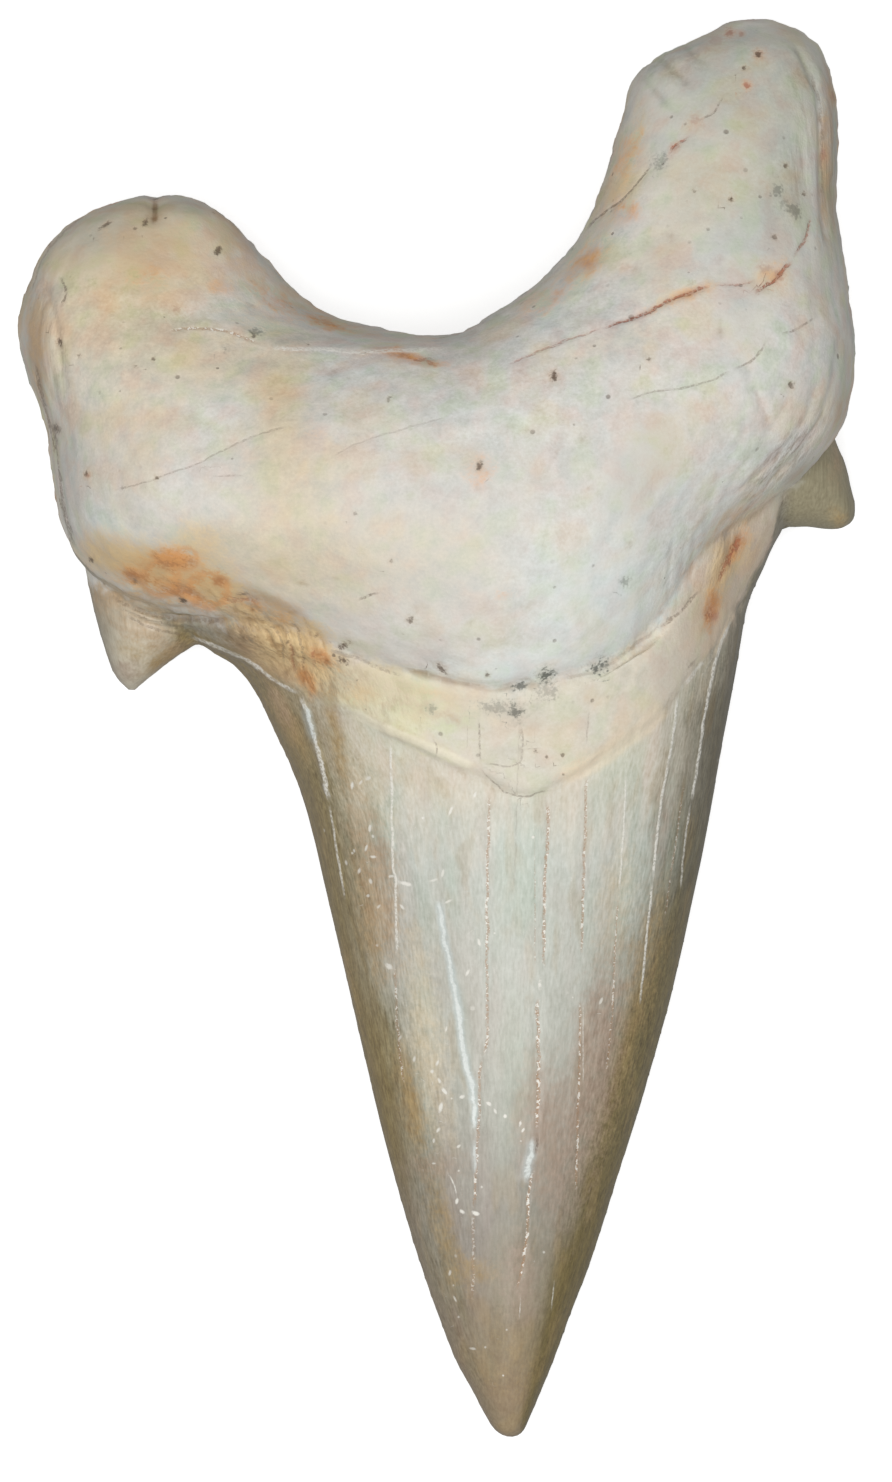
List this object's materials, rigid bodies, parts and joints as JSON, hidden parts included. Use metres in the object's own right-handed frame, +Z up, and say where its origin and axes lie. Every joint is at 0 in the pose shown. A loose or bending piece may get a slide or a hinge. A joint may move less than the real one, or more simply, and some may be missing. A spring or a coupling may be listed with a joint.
{
  "type": "fossil shark tooth",
  "caption": "Fossil shark tooth with a smooth triangular blade, small side cusplets and a thick forked root, lying on its flat outer face with the swollen inner face up.",
  "frame": {"origin": "under the middle of the tooth's box, on the surface that it lies on", "axes": "+Z up through the swollen inner face, +Y from the blade's tip towards the root, +X across the blade towards the side of the longer root lobe"},
  "size_m": [0.047, 0.08, 0.0208],
  "materials": {
    "fossil": "satin"
  },
  "bodies": {
    "root": {"tooth": "fossil"}
  },
  "joints": []
}
